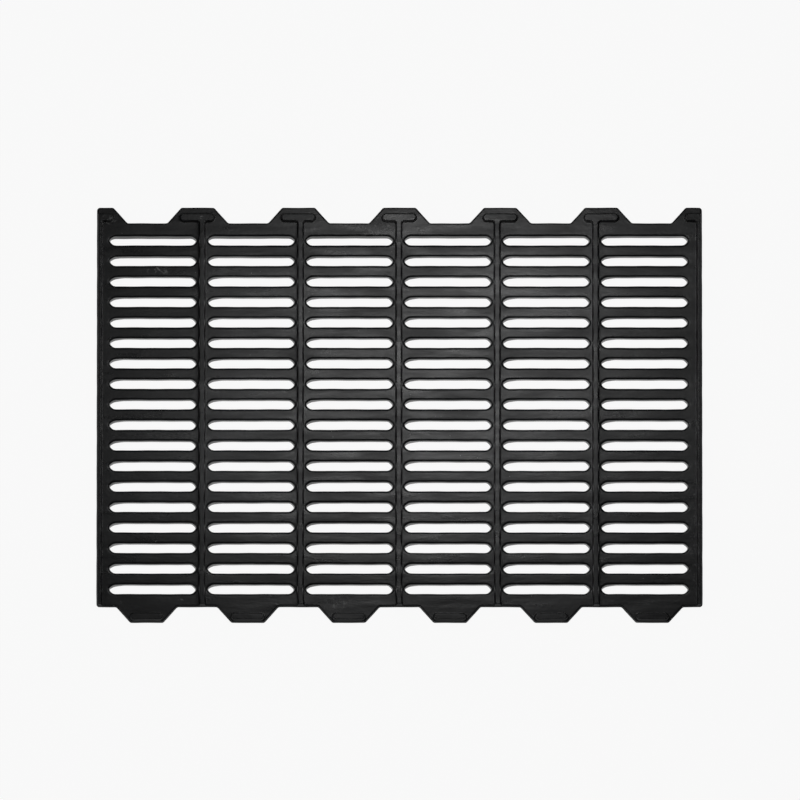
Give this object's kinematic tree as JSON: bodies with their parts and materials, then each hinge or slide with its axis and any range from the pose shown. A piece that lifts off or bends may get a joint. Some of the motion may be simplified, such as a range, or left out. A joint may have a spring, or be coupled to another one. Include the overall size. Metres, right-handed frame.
{
  "type": "cast iron floor slat",
  "caption": "Slotted cast iron floor grate with stiffening ribs underneath and interlocking tabs along its edges, laid edge to edge as drained flooring in a pig house.",
  "frame": {"origin": "middle of the flat walking face, at the bottom of the overall box, because the slat lies on that face with its ribs up, as pictured", "axes": "+X across the ribs, +Y along the ribs towards the tabs with cross bars, +Z from the walking face to the crests of the ribs. In use the slat is turned over, so that -Z is up"},
  "size_m": [0.6, 0.4126, 0.022],
  "materials": {
    "coated_casting": "semi-gloss black dip coating over sand-cast skin, with fine pits, brush marks and a few bare specks"
  },
  "bodies": {
    "root": {"floor_slat": "coated_casting"}
  },
  "joints": []
}
